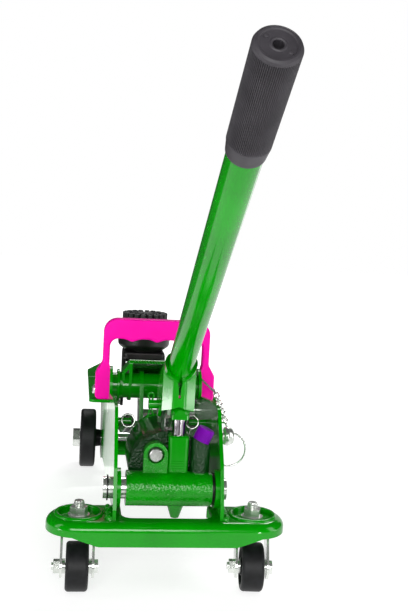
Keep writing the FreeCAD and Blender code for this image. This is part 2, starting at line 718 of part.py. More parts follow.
# Saddle: steel dish and a rubber pad with a tread of blocks
saddle = turned([
    (0, bridge_low, 0), (spigot_r, bridge_low, 1), (spigot_r, bridge_high + side, 0),
    (22, bridge_high + side, 2), (dish_r - 0.6, pad_low - 8.5, 6), (dish_r, pad_low + 3, 1),
    (pad_r, pad_low + 3, 0), (pad_r, pad_low, 0), (0, pad_low, 0)])
nodes["saddle"] = moved(saddle, 0, head_y, 0)
pad = rod_z(pad_low, pad_high, 0, 0, pad_r)
tread = pad_high - 4.5
ring = rod_z(tread, pad_high, 0, 0, pad_hub + 10).cut(rod_z(tread, pad_high, 0, 0, pad_hub + 7.5))
pad = pad.cut(ring)
groove = joined([
    rod_z(pad_low + 3, pad_high, pad_r + 0.6, 0, 2.2),
    box(pad_hub, pad_r, -1.3, 1.3, tread, pad_high)])
for k in range(pad_grooves):
    pad = pad.cut(turned_by(groove, V(0, 0, 0), V(0, 0, 1), 360 * k / pad_grooves))
nodes["saddle_pad"] = moved(pad, 0, head_y, 0)

# Carry handle with finger waves under its bar
waves = []
for x in (25, 0, -25):
    waves += [(x + 8, carry_grip, 12), (x, carry_grip - 3, 4), (x - 8, carry_grip, 12)]
carry = plate_y(rounded, [
    (plate_out, carry_low, 0), (carry_foot, carry_low, 5), (carry_foot, carry_knee, 8),
    (carry_half, carry_neck, 8), (carry_half, carry_high, 14), (-carry_half, carry_high, 14),
    (-carry_half, carry_neck, 8), (-carry_foot, carry_knee, 8), (-carry_foot, carry_low, 5),
    (-plate_out, carry_low, 0), (-plate_out, carry_neck - 5, 0), (-carry_in, carry_neck - 2, 0),
    (-carry_in, carry_grip, 8)] + waves[::-1] + [
    (carry_in, carry_grip, 8), (carry_in, carry_neck - 2, 0), (plate_out, carry_neck - 5, 0)],
    carry_y0, carry_y1)
soft = [e for e in edges_at_y(carry, carry_y0) + edges_at_y(carry, carry_y1)
        if e.BoundBox.ZMin > carry_neck]
nodes["carry_handle"] = carry.makeFillet(carry_edge, soft)

# Return springs, shown at their rest length
reach = math.hypot(lug_y - spring_y, lug_z - spring_z)
way = V(0, (lug_y - spring_y) / reach, (lug_z - spring_z) / reach)
seat = V(spring_x, spring_y, spring_z)
coil_low = -5.0
coil_high = reach - lug_r - 1.0
coil = Part.makeCylinder(spring_r, coil_high - coil_low, seat + way * coil_low, way)
coil = coil.cut(Part.makeCylinder(
    spring_r - spring_wire, coil_high - coil_low - spring_wire, seat + way * coil_low, way))
eye_r = lug_r + side + spring_wire / 2 + 0.1
eye = Part.makeTorus(eye_r, spring_wire / 2, V(spring_x, lug_y, lug_z), V(1, 0, 0))
peg = rod_x(spring_x - 3, plate_out, spring_y, spring_z, peg_r)
spring = joined([coil, eye]).cut(peg)
for name, flip in (("left", True), ("right", False)):
    nodes["return_spring_" + name] = mirrored(spring) if flip else spring
    nodes["spring_peg_" + name] = mirrored(peg) if flip else peg

# Lock pin, pull ring and chain on the right
ring = Part.makeTorus(ring_r, ring_wire, V(ring_x, lock_y, ring_z), V(0, 1, 0))
knob = turned_x([
    (0, 57, 0), (8, 57, 2), (9, 61, 3), (6.5, 66.5, 4), (0, 66.5, 0)])
lock = joined([rod_x(plate_in - 4, 58, lock_y, lock_z, lock_r), moved(knob, 0, lock_y, lock_z)])
nodes["lock_pin"] = lock.cut(ring)
nodes["pull_ring"] = ring


# One chain link, a stadium of wire lying along X
def chain_link(inner_half, width_half):
    r = width_half
    path = Part.Wire([
        Part.makeLine(V(-inner_half, -r, 0), V(inner_half, -r, 0)),
        Part.Arc(V(inner_half, -r, 0), V(inner_half + r, 0, 0), V(inner_half, r, 0)).toShape(),
        Part.makeLine(V(inner_half, r, 0), V(-inner_half, r, 0)),
        Part.Arc(V(-inner_half, r, 0), V(-inner_half - r, 0, 0), V(-inner_half, -r, 0)).toShape()])
    section = Part.Wire(Part.makeCircle(chain_wire, V(0, -r, 0), V(1, 0, 0)))
    return path.makePipeShell([section], True, True)


chain_from = V(plate_out, piv_y - hook_back, piv_z + hook_up)
chain_bend = V(plate_out + chain_out, piv_y - chain_back, piv_z - chain_down)
chain_to = V(plate_out + catch_out, lock_y + catch_off, lock_z + catch_off)
hook_way = chain_bend - chain_from
hook = Part.makeCylinder(chain_wire, hook_way.Length, chain_from, hook_way)
chain = [hook]
chain_way = chain_to - chain_bend
pitch = chain_way.Length / chain_links
link_width = 2.6
for k in range(chain_links):
    one = chain_link((pitch + 2 * chain_wire - 0.4) / 2 - link_width, link_width)
    one = turned_by(one, V(0, 0, 0), V(1, 0, 0), 90 * (k % 2) + 45)
    one.Placement = FreeCAD.Placement(
        chain_bend + chain_way * ((k + 0.5) / chain_links),
        FreeCAD.Rotation(V(1, 0, 0), chain_way)).multiply(one.Placement)
    chain.append(one)
nodes["chain"] = joined(chain).cut(nodes["side_plate_right"])

# Origin on the floor, under the middle of the part's box
whole = Part.makeCompound(list(nodes.values())).optimalBoundingBox(False, False)
middle = (whole.YMin + whole.YMax) / 2
for name, shape in nodes.items():
    moved(shape, 0, -middle, 0).exportStep("parts/" + name + ".step")
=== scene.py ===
import json
import math
import bpy
from mathutils import Matrix, Vector


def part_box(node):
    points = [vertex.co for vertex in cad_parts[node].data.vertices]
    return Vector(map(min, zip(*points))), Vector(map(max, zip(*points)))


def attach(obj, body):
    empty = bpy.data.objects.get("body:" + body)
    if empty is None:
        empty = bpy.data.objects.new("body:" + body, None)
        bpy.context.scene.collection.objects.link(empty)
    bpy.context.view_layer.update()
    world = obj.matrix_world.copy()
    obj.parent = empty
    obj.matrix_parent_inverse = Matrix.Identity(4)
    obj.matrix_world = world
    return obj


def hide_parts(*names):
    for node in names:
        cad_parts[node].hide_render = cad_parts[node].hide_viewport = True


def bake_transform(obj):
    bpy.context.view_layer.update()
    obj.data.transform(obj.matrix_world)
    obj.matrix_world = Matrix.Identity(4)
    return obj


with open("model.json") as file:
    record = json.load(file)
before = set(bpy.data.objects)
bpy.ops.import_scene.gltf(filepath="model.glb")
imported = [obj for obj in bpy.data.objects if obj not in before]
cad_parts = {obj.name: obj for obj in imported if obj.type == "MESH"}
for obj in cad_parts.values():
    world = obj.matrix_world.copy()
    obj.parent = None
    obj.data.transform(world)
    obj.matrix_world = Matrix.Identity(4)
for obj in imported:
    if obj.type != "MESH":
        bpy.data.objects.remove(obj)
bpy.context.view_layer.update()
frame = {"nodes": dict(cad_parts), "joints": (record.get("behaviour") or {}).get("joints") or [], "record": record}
nodes = frame["nodes"]
mm = 0.001
scene = bpy.context.scene


# sRGB hex to the linear values that the sockets take
def linear(hexColour):
    parts = [int(hexColour[i:i + 2], 16) / 255 for i in (1, 3, 5)]
    values = [c / 12.92 if c <= 0.04045 else ((c + 0.055) / 1.055) ** 2.4 for c in parts]
    return values + [1.0]


# adds one node: settings by name, input values by socket, links from other nodes' outputs
def addNode(tree, kind, settings=None, values=None, links=None):
    node = tree.nodes.new(kind)
    for key, value in (settings or {}).items():
        setattr(node, key, value)
    for key, value in (values or {}).items():
        node.inputs[key].default_value = value
    for key, source in (links or {}).items():
        tree.links.new(source, node.inputs[key])
    return node


# an empty node tree with its output and the object's own coordinates
def newMaterial(name):
    material = bpy.data.materials.new(name)
    material.use_nodes = True
    tree = material.node_tree
    tree.nodes.clear()
    out = addNode(tree, "ShaderNodeOutputMaterial")
    place = addNode(tree, "ShaderNodeTexCoord").outputs["Object"]
    return material, tree, out, place


# a surface whose colour drifts between two tones and whose skin has a fine relief
coatLook = {"darkAt": 0.35, "lightAt": 0.65, "driftDetail": 3.0, "skinDetail": 2.0, "skinDeep": 0.3,
            "smoother": 0.85, "rougher": 1.15}


def coatedMaterial(name, look):
    material, tree, out, place = newMaterial(name)
    drift = addNode(tree, "ShaderNodeTexNoise", None,
                    {"Scale": 1 / (look["driftMm"] * mm), "Detail": coatLook["driftDetail"]},
                    {"Vector": place})
    ramp = addNode(tree, "ShaderNodeValToRGB", None, None, {"Fac": drift.outputs["Fac"]})
    for element, tone in zip(ramp.color_ramp.elements, ("dark", "light")):
        element.position = coatLook[tone + "At"]
        element.color = linear(look[tone])
    skin = addNode(tree, "ShaderNodeTexNoise", None,
                   {"Scale": 1 / (look["skinMm"] * mm), "Detail": coatLook["skinDetail"]},
                   {"Vector": place})
    relief = addNode(tree, "ShaderNodeBump", None,
                     {"Strength": look["relief"], "Distance": look["skinMm"] * mm * coatLook["skinDeep"]},
                     {"Height": skin.outputs["Fac"]})
    gloss = addNode(tree, "ShaderNodeMapRange", None,
                    {"To Min": look["rough"] * coatLook["smoother"],
                     "To Max": look["rough"] * coatLook["rougher"]},
                    {"Value": drift.outputs["Fac"]})
    colour = ramp.outputs["Color"]
    # painted shade: a darker colour mixed in by place where the part lies in shadow; the Z mask also sets the
    # coarser relief
    if "paintedShade" in look:
        placeAxes = addNode(tree, "ShaderNodeSeparateXYZ", None, None, {"Vector": place})
        shadeAndReliefMasks = {}
        for axis, (start, full) in look["paintedShadeAt"].items():
            shadeAndReliefMasks[axis] = addNode(tree, "ShaderNodeMapRange", None,
                                 {"From Min": start * mm, "From Max": full * mm},
                                 {"Value": placeAxes.outputs[axis]}).outputs["Result"]
        post = addNode(tree, "ShaderNodeMath", {"operation": "MULTIPLY"}, None, {0: shadeAndReliefMasks["X"], 1: shadeAndReliefMasks["Z"]})
        paintedShadeMask = addNode(tree, "ShaderNodeMath", {"operation": "MAXIMUM"}, None,
                       {0: shadeAndReliefMasks["Y"], 1: post.outputs["Value"]})
        paintedShadeMix = addNode(tree, "ShaderNodeMix", {"data_type": "RGBA"}, None,
                          {"Factor": paintedShadeMask.outputs["Value"], "A": colour})
        paintedShadeMix.inputs["B"].default_value = linear(look["paintedShade"])
        colour = paintedShadeMix.outputs["Result"]
        coarse = addNode(tree, "ShaderNodeMapRange", None,
                         {"To Min": look["relief"], "To Max": look["lugRelief"]}, {"Value": shadeAndReliefMasks["Z"]})
        tree.links.new(coarse.outputs["Result"], relief.inputs["Strength"])
    body = addNode(tree, "ShaderNodeBsdfPrincipled", None,
                   {"Metallic": look["metallic"], "Specular IOR Level": look.get("specular", 0.5)},
                   {"Base Color": colour, "Normal": relief.outputs["Normal"],
                    "Roughness": gloss.outputs["Result"]})
    if not look["metallic"]:
        body.inputs["IOR"].default_value = look["ior"]
    tree.links.new(body.outputs["BSDF"], out.inputs["Surface"])
    return material


# sprayed gloss enamel on steel: deep green with a faint orange peel
greenEnamel = coatedMaterial("sprayed green enamel", {
    "dark": "#008000", "light": "#008E00", "driftMm": 45, "skinMm": 1.6, "relief": 0.06,
    "rough": 0.13, "metallic": 0.0, "ior": 1.5, "specular": 0.45})
# the same enamel on rolled plate: a little flatter, so that its sides go pale at a low angle
plateEnamel = coatedMaterial("green enamel on rolled plate", {
    "dark": "#008000", "light": "#008E00", "driftMm": 60, "skinMm": 9.0, "relief": 0.05,
    "rough": 0.17, "metallic": 0.0, "ior": 1.5, "specular": 0.2})
# the same enamel on the cast block: a sand-cast skin shows through, coarser on the lugs above the turned bar,
# and painted shade darkens the head (along Y) and the overload post (right of X and above Z), where they lie in
# shadow
castEnamel = coatedMaterial("green enamel on casting", {
    "dark": "#007600", "light": "#008C00", "driftMm": 20, "skinMm": 2.0, "relief": 0.9, "lugRelief": 1.9,
    "rough": 0.18, "metallic": 0.0, "ior": 1.5, "specular": 0.38,
    "paintedShade": "#03300A", "paintedShadeAt": {"X": (17.8, 18.6), "Y": (-27, -19), "Z": (91.8, 93.2)}})
# enamel on the oil tank behind the pump: painted dark green all over, as painted shade for the tank lying in
# shadow
tankEnamel = coatedMaterial("green enamel with painted shade", {
    "dark": "#03300A", "light": "#064A0E", "driftMm": 25, "skinMm": 1.6, "relief": 0.06,
    "rough": 0.12, "metallic": 0.0, "ior": 1.5, "specular": 0.5})
# bright zinc plate on pressed steel: pale silver with cloudy patches
zincPlate = coatedMaterial("bright zinc plate", {
    "dark": "#CCD2CA", "light": "#F0F3EE", "driftMm": 12, "skinMm": 0.8, "relief": 0.08,
    "rough": 0.2, "metallic": 0.8})
# ground and hard-chromed rod: mirror-like with faint grinding
chromeRod = coatedMaterial("hard chrome", {
    "dark": "#726E72", "light": "#A6A2A6", "driftMm": 8, "skinMm": 0.5, "relief": 0.03,
    "rough": 0.14, "metallic": 1.0})
# moulded polypropylene in magenta: a soft sheen and a fine moulded grain
magentaPlastic = coatedMaterial("moulded magenta polypropylene", {
    "dark": "#F800A4", "light": "#FF08AC", "driftMm": 30, "skinMm": 0.6, "relief": 0.08,
    "rough": 0.42, "metallic": 0.0, "ior": 1.49, "specular": 0.1})
# moulded polyethylene cap in purple: waxy, with hardly a highlight
purplePlastic = coatedMaterial("moulded purple polyethylene", {
    "dark": "#66008E", "light": "#72009C", "driftMm": 9, "skinMm": 0.5, "relief": 0.08,
    "rough": 0.4, "metallic": 0.0, "ior": 1.51, "specular": 0.1})
# moulded PVC grip: matt dark grey with a dusty bloom
gripRubber = coatedMaterial("moulded grey pvc", {
    "dark": "#343136", "light": "#413E43", "driftMm": 18, "skinMm": 0.5, "relief": 0.15,
    "rough": 0.6, "metallic": 0.0, "ior": 1.52})
# black rubber pad: matt with a worn grey bloom
padRubber = coatedMaterial("black rubber", {
    "dark": "#141414", "light": "#262627", "driftMm": 10, "skinMm": 0.7, "relief": 0.2,
    "rough": 0.65, "metallic": 0.0, "ior": 1.52})
# black stoved paint on the saddle: a low satin sheen along the edges
blackPaint = coatedMaterial("black stoved paint", {
    "dark": "#0E0E0E", "light": "#1C1C1C", "driftMm": 14, "skinMm": 1.2, "relief": 0.1,
    "rough": 0.35, "metallic": 0.0, "ior": 1.5})
# moulded nylon wheels: charcoal with scuffs
wheelNylon = coatedMaterial("moulded charcoal nylon", {
    "dark": "#0C0D0E", "light": "#17181A", "driftMm": 7, "skinMm": 0.9, "relief": 0.2,
    "rough": 0.5, "metallic": 0.0, "ior": 1.53, "specular": 0.25})
# bare cold-drawn steel: grey with a light oil film
bareSteel = coatedMaterial("cold-drawn steel", {
    "dark": "#6E6A6E", "light": "#8E8A8E", "driftMm": 10, "skinMm": 0.7, "relief": 0.08,
    "rough": 0.35, "metallic": 1.0})

slotMaterials = {
    "green_paint": greenEnamel, "black_paint": blackPaint, "zinc_plate": zincPlate,
    "bare_steel": bareSteel, "chrome_rod": chromeRod, "magenta_plastic": magentaPlastic,
    "purple_plastic": purplePlastic, "grip_rubber": gripRubber, "pad_rubber": padRubber,
    "wheel_plastic": wheelNylon}
ownFinish = {
    "power_block": castEnamel, "side_plate_left": plateEnamel, "side_plate_right": plateEnamel,
    "reservoir": tankEnamel}
for entry in frame["record"]["subparts"]:
    piece = nodes[entry["node"]]
    piece.data.materials.clear()
    piece.data.materials.append(ownFinish.get(entry["node"], slotMaterials[entry["material_slot"]]))
print("materials on", len(nodes), "solids")


# a new piece: applies its place, smooths it, paints it and hangs it on its body
def finishPiece(piece, name, material, body, smoothAngle):
    piece.name = name
    bpy.ops.object.select_all(action="DESELECT")
    piece.select_set(True)
    bpy.context.view_layer.objects.active = piece
    bpy.ops.object.transform_apply(location=True, rotation=True, scale=True)
    bpy.ops.object.mode_set(mode="EDIT")
    bpy.ops.mesh.select_all(action="SELECT")
    bpy.ops.mesh.remove_doubles(threshold=1e-6)
    bpy.ops.mesh.normals_make_consistent(inside=False)
    bpy.ops.object.mode_set(mode="OBJECT")
    bpy.ops.object.shade_smooth_by_angle(angle=math.radians(smoothAngle))
    piece.data.materials.clear()
    piece.data.materials.append(material)
    if body:
        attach(piece, body)


# a turned piece about Z: a circle extruded ring by ring through (radius, height) in mm
def ringStack(rings, sides, closed=True):
    bpy.ops.object.select_all(action="DESELECT")
    bpy.ops.mesh.primitive_circle_add(
        vertices=sides, radius=rings[0][0] * mm, location=(0, 0, rings[0][1] * mm),
        fill_type="NGON" if closed else "NOTHING")
    piece = bpy.context.active_object
    bpy.ops.object.transform_apply(location=True, rotation=True, scale=True)
    bpy.ops.object.mode_set(mode="EDIT")
    bpy.ops.mesh.select_all(action="SELECT")
    for (radius, height), (nextRadius, nextHeight) in zip(rings, rings[1:]):
        bpy.ops.mesh.extrude_region_move(
            TRANSFORM_OT_translate={"value": (0, 0, (nextHeight - height) * mm)})
        grow = nextRadius / radius
        bpy.ops.transform.resize(value=(grow, grow, 1), center_override=(0, 0, nextHeight * mm))
    bpy.ops.object.mode_set(mode="OBJECT")
    return piece


# several pieces made into one mesh
def joinAll(pieces):
    bpy.ops.object.select_all(action="DESELECT")
    for piece in pieces:
        piece.select_set(True)
    bpy.context.view_layer.objects.active = pieces[0]
    bpy.ops.object.join()
    return bpy.context.active_object


# a copy with its own mesh, moved, turned about Z and scaled
def copyOf(piece, place=(0, 0, 0), turn=0.0, size=1.0):
    bpy.ops.object.select_all(action="DESELECT")
    piece.select_set(True)
    bpy.context.view_layer.objects.active = piece
    bpy.ops.object.duplicate(linked=False)
    copy = bpy.context.active_object
    copy.location = Vector(place) * mm
    copy.rotation_euler = (0, 0, turn)
    copy.scale = (size, size, size)
    bpy.ops.object.transform_apply(location=True, rotation=True, scale=True)
    return copy


# a wire bent smoothly through points in mm
def bentWire(points, radius):
    curve = bpy.data.curves.new("wire", "CURVE")
    curve.dimensions = "3D"
    curve.bevel_depth = radius * mm
    curve.bevel_resolution = 3
    curve.use_fill_caps = True
    spline = curve.splines.new("NURBS")
    spline.points.add(len(points) - 1)
    for point, place in zip(spline.points, points):
        point.co = (place[0] * mm, place[1] * mm, place[2] * mm, 1)
    spline.order_u = 3
    spline.use_endpoint_u = True
    spline.resolution_u = 6
    wire = bpy.data.objects.new("wire", curve)
    scene.collection.objects.link(wire)
    bpy.ops.object.select_all(action="DESELECT")
    wire.select_set(True)
    bpy.context.view_layer.objects.active = wire
    bpy.ops.object.convert(target="MESH")
    return bpy.context.active_object


# a joint of the frame by its name
def jointNamed(name):
    return [joint for joint in frame["joints"] if joint["name"] == name][0]


# lays a piece made about Z along an axis: its own X stays near +X, or points down where the axis is X
def layAlong(piece, axis, place):
    z = Vector(axis).normalized()
    x = Vector((1, 0, 0)) if abs(z.x) < 0.9 else Vector((0, 0, -1))
    y = z.cross(x).normalized()
    x = y.cross(z)
    piece.matrix_world = Matrix.Translation(place) @ Matrix((x, y, z)).transposed().to_4x4()


# the middle of a solid's box
def boxMiddle(node):
    low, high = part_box(node)
    return (low + high) / 2


# ribbed grip: a smooth collar, fine ribs along the barrel and a plain end with a centre hole
gripLook = {"long": 83.0, "cap": 4.0, "tube": 10.75,
            "ribs": 76, "ribDeep": 0.935, "ribFrom": 11.5, "ribTo": 2.6,
            "foot": ((10.75, 0), (11.7, 0), (12.45, 7.5), (12.7, 9), (12.7, 11), (12.7, 12)),
            "end": ((12.7, 3), (12.7, 2.2), (12.0, 0.7), (10.7, 0), (9.7, 0),
                    (9.1, 0.6), (4.6, 0.6), (3.8, 0.2), (2.9, 0.6), (2.9, 30)),
            "stud": ((1.5, 0.7), (1.4, 0.2), (0.9, 0)),
            "studSides": 16, "studsOut": 7.2, "studTurns": (140, -40)}
handleAxis = Vector(jointNamed("handle_slide")["axis"]).normalized()
handleMiddle = boxMiddle("handle_tube")
tubeHalf = (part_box("handle_tube")[1].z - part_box("handle_tube")[0].z - 2 * gripLook["tube"] * mm
            * math.cos(math.asin(handleAxis.z))) / handleAxis.z / 2 / mm
gripEnd = tubeHalf + gripLook["cap"]
gripStart = gripEnd - gripLook["long"]
rings = [(radius, gripStart + up) for radius, up in gripLook["foot"]]
rings += [(radius, gripEnd - down) for radius, down in gripLook["end"]]
grip = ringStack(rings, gripLook["ribs"] * 4)
bpy.ops.object.mode_set(mode="EDIT")
bpy.ops.mesh.select_all(action="DESELECT")
bpy.ops.object.mode_set(mode="OBJECT")
for vertex in grip.data.vertices:
    step = round(math.atan2(vertex.co.y, vertex.co.x) / (2 * math.pi) * gripLook["ribs"] * 4)
    inBarrel = gripStart + gripLook["ribFrom"] < vertex.co.z / mm < gripEnd - gripLook["ribTo"]
    vertex.select = inBarrel and step % 4 in (2, 3)
bpy.ops.object.mode_set(mode="EDIT")
bpy.ops.transform.resize(value=(gripLook["ribDeep"], gripLook["ribDeep"], 1), center_override=(0, 0, 0))
bpy.ops.object.mode_set(mode="OBJECT")
stud = ringStack([(radius, gripEnd - down) for radius, down in gripLook["stud"]], gripLook["studSides"])
studs = []
for turn in gripLook["studTurns"]:
    way = Vector((math.cos(math.radians(turn)), math.sin(math.radians(turn)), 0))
    studs.append(copyOf(stud, way * gripLook["studsOut"]))
bpy.data.objects.remove(stud)
grip = joinAll([grip] + studs)
layAlong(grip, handleAxis, handleMiddle)
finishPiece(grip, "gripRibs", gripRubber, "handle", smoothAngle=25)
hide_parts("grip")
print("grip ribbed")

# return springs: close coils of drawn wire that stretch between the peg and the lug pin
springLook = {"coil": 6.0, "wire": 0.95, "wireSides": 8, "pitch": 2.6, "turnSteps": 20,
              "shorter": 3, "back": 4}
lugMiddle = boxMiddle("lug_pin")
for side in ("left", "right"):
    peg = boxMiddle("spring_peg_" + side)
    across = boxMiddle("return_spring_" + side).x
    start = Vector((across, peg.y, peg.z))
    end = Vector((across, lugMiddle.y, lugMiddle.z))
    way = (end - start).normalized()
    length = (end - start).length / mm - springLook["shorter"]
    turns = round(length / springLook["pitch"])
    bpy.ops.object.select_all(action="DESELECT")
    bpy.ops.mesh.primitive_circle_add(
        vertices=springLook["wireSides"], radius=springLook["wire"] * mm,
        location=(springLook["coil"] * mm, 0, 0), rotation=(math.pi / 2, 0, 0))
    coil = bpy.context.active_object
    bpy.ops.object.transform_apply(location=True, rotation=True, scale=True)
    screw = coil.modifiers.new("coil", "SCREW")
    screw.angle = 2 * math.pi * turns
    screw.screw_offset = length * mm
    screw.steps = springLook["turnSteps"] * turns
    screw.render_steps = springLook["turnSteps"] * turns
    bpy.ops.object.modifier_apply(modifier="coil")
    layAlong(coil, way, start - way * springLook["back"] * mm)
    finishPiece(coil, "springCoil" + side.capitalize(), zincPlate, None, smoothAngle=60)
    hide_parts("return_spring_" + side)
    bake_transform(coil)
print("springs wound")

# weld beads: overlapping ripples along the side plates' feet on the pan, uneven as laid by hand
beadLook = {"ripples": 9, "step": 3.6, "inset": 1, "across": 48.4, "panTop": 58.3,
            "wander": 1.1, "wanderStep": 1.9, "swell": 0.22, "swellSteps": (2.7, 1.3), "turnStep": 0.7,
            "section": ((2.9, -0.6), (2.9, 0.3), (2.378, 2.16), (1.45, 3.24), (0.435, 3.6)), "sides": 14}
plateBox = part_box("side_plate_left")
for side, sign in (("left", -1), ("right", 1)):
    ripple = ringStack(beadLook["section"], beadLook["sides"])
    beads = []
    for k in range(beadLook["ripples"]):
        fast, slow = beadLook["swellSteps"]
        swell = 1 + beadLook["swell"] * math.sin(fast * k) * math.cos(slow * k)
        across = beadLook["across"] + beadLook["wander"] * math.sin(beadLook["wanderStep"] * k)
        along = plateBox[0].y / mm + beadLook["inset"] + k * beadLook["step"]
        place = (sign * across, along, beadLook["panTop"])
        beads.append(copyOf(ripple, place, beadLook["turnStep"] * k, swell))
    bpy.data.objects.remove(ripple)
    finishPiece(joinAll(beads), "weldBead" + side.capitalize(), greenEnamel, "chassis",
                smoothAngle=50)
print("welds laid")

# thread rings at the pump cylinder's foot: a rounded square's outline extruded to a closed ridge and repeated
threadRings = {"half": (8.85, 8.75), "corner": 3.1, "cornerSteps": 5, "pitch": 2.1, "count": 4, "neck": 0.95,
               "start": 0.3, "rises": (0.35, 0.2, 0.35)}
pumpMiddle = boxMiddle("pump_cylinder") / mm
bpy.ops.object.select_all(action="DESELECT")
bpy.ops.mesh.primitive_plane_add(size=2)
ridge = bpy.context.active_object
ridge.scale = (threadRings["half"][0] * mm, threadRings["half"][1] * mm, 1)
bpy.ops.object.transform_apply(location=True, rotation=True, scale=True)
bpy.ops.object.mode_set(mode="EDIT")
bpy.ops.mesh.select_all(action="SELECT")
bpy.ops.mesh.bevel(offset=threadRings["corner"] * mm, segments=threadRings["cornerSteps"], affect="VERTICES")
bpy.ops.mesh.delete(type="ONLY_FACE")
bpy.ops.mesh.select_all(action="SELECT")
neck = threadRings["neck"]
rises = threadRings["rises"]
bpy.ops.transform.resize(value=(neck, neck, 1))
for grow, rise in ((1 / neck, rises[0]), (1, rises[1]), (neck, rises[2]), (1, -sum(rises))):
    bpy.ops.mesh.extrude_region_move(TRANSFORM_OT_translate={"value": (0, 0, rise * mm)})
    bpy.ops.transform.resize(value=(grow, grow, 1))
bpy.ops.object.mode_set(mode="OBJECT")
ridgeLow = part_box("pump_cylinder")[0].z / mm + threadRings["start"]
ridges = [copyOf(ridge, (pumpMiddle.x, pumpMiddle.y, ridgeLow + k * threadRings["pitch"]))
          for k in range(threadRings["count"])]
bpy.data.objects.remove(ridge)
finishPiece(joinAll(ridges), "pumpThread", greenEnamel, "chassis", smoothAngle=30)
print("pump foot threaded")

# mould rings around the overload valve's cap: fine ridges up its leaning wall
capLook = {"radius": 7.2, "long": 11.5, "lean": 24, "proud": 0.3, "sunk": 0.05,
           "pitch": 1.3, "start": 1.2, "count": 7, "ridge": (0.25, 0.6, 0.85), "sides": 48}
lean = math.radians(capLook["lean"])
capAxis = Vector((math.sin(lean), 0, math.cos(lean)))
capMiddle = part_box("overload_cap")[0] / mm + Vector((
    capLook["long"] / 2 * math.sin(lean) + capLook["radius"] * math.cos(lean), capLook["radius"],
    capLook["long"] / 2 * math.cos(lean) + capLook["radius"] * math.sin(lean)))
root = capLook["radius"] - capLook["sunk"]
crest = capLook["radius"] + capLook["proud"]
rise, flat, fall = capLook["ridge"]
rings = []
for k in range(capLook["count"]):
    low = capLook["start"] + k * capLook["pitch"] - capLook["long"] / 2
    rings += [(root, low), (crest, low + rise), (crest, low + flat), (root, low + fall)]
sleeve = ringStack(rings, capLook["sides"], closed=False)
layAlong(sleeve, capAxis, capMiddle * mm)
finishPiece(sleeve, "capRings", purplePlastic, "chassis", smoothAngle=25)
print("cap ringed")

# circlip in the left trunnion's groove: a flat ring spun from its section, open at the bottom
clipLook = {"in": 8.9, "out": 10.7, "thick": 1.1, "open": 40, "steps": 40, "x": -50.3}
trunnion = boxMiddle("trunnion_left")
bpy.ops.object.select_all(action="DESELECT")
bpy.ops.mesh.primitive_plane_add(size=1, location=((clipLook["in"] + clipLook["out"]) / 2 * mm, 0, 0),
                                 rotation=(math.pi / 2, 0, 0))
clip = bpy.context.active_object
clip.scale = ((clipLook["out"] - clipLook["in"]) * mm, clipLook["thick"] * mm, 1)
bpy.ops.object.transform_apply(location=True, rotation=True, scale=True)
bpy.ops.object.mode_set(mode="EDIT")
bpy.ops.mesh.select_all(action="SELECT")
bpy.ops.mesh.spin(steps=clipLook["steps"], angle=math.radians(360 - clipLook["open"]),
                  center=(0, 0, 0), axis=(0, 0, 1))
bpy.ops.object.mode_set(mode="OBJECT")
layAlong(clip, (1, 0, 0), Vector((clipLook["x"] * mm, trunnion.y, trunnion.z)))
finishPiece(clip, "circlipLeft", blackPaint, "chassis", smoothAngle=30)

# spring washers in black paint between the bar's right end and the plate's boss: the black is painted shade where
# the boss lies in shadow
washerLook = {"section": ((9.1, 0), (13.1, 0), (13.4, 0.3), (13.4, 0.7), (13.1, 1.0), (9.1, 1.0), (9.1, 0)),
              "sides": 48, "starts": (37.15, 38.35)}
for number, x in enumerate(washerLook["starts"]):
    washer = ringStack(washerLook["section"], washerLook["sides"], closed=False)
    layAlong(washer, (1, 0, 0), Vector((x * mm, trunnion.y, trunnion.z)))
    finishPiece(washer, "trunnionWasher" + str(number + 1), blackPaint, "chassis",
                smoothAngle=30)

# cotter pin through the fulcrum pin's left end: an eye on top and two splayed legs
cotterLook = {"x": -14.6, "wire": 0.75, "pinRadius": 4.1,
              "path": ((-2.6, -0.6, -16.75), (-1.1, 0, -11), (-0.7, 0, -8), (-0.7, 0, 0),
                       (-2.6, 0, 2), (-2.2, 0, 5), (0, 0, 5.6), (2.2, 0, 5), (2.6, 0, 2),
                       (0.7, 0, 0), (0.7, 0, -8), (1.6, 0, -11), (3.0, 0.6, -14.85))}
pinMiddle = boxMiddle("fulcrum_pin") / mm
eyeFoot = Vector((cotterLook["x"], pinMiddle.y, pinMiddle.z + cotterLook["pinRadius"]))
cotter = bentWire([eyeFoot + Vector(point) for point in cotterLook["path"]], cotterLook["wire"])
finishPiece(cotter, "cotterPin", greenEnamel, "chassis", smoothAngle=50)
print("clip, washers and cotter fitted")

# welded collars beside the levelling links, turned and tapered onto the cross tube
collarLook = {"section": ((12.6, 0), (15.8, 0), (16.4, 0.6), (16.4, 1.8),
                          (15.8, 2.4), (13.8, 2.9), (12.6, 5.4), (12.6, 0)), "sides": 56, "clear": 0.4}
pivot = boxMiddle("pivot_shaft")
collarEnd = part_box("level_link_right")[0].x / mm - collarLook["clear"]
for side, sign in (("left", -1), ("right", 1)):
    collar = ringStack(collarLook["section"], collarLook["sides"], closed=False)
    layAlong(collar, (-sign, 0, 0), Vector((sign * collarEnd * mm, pivot.y, pivot.z)))
    finishPiece(collar, "pivotCollar" + side.capitalize(), greenEnamel, "lift", smoothAngle=30)

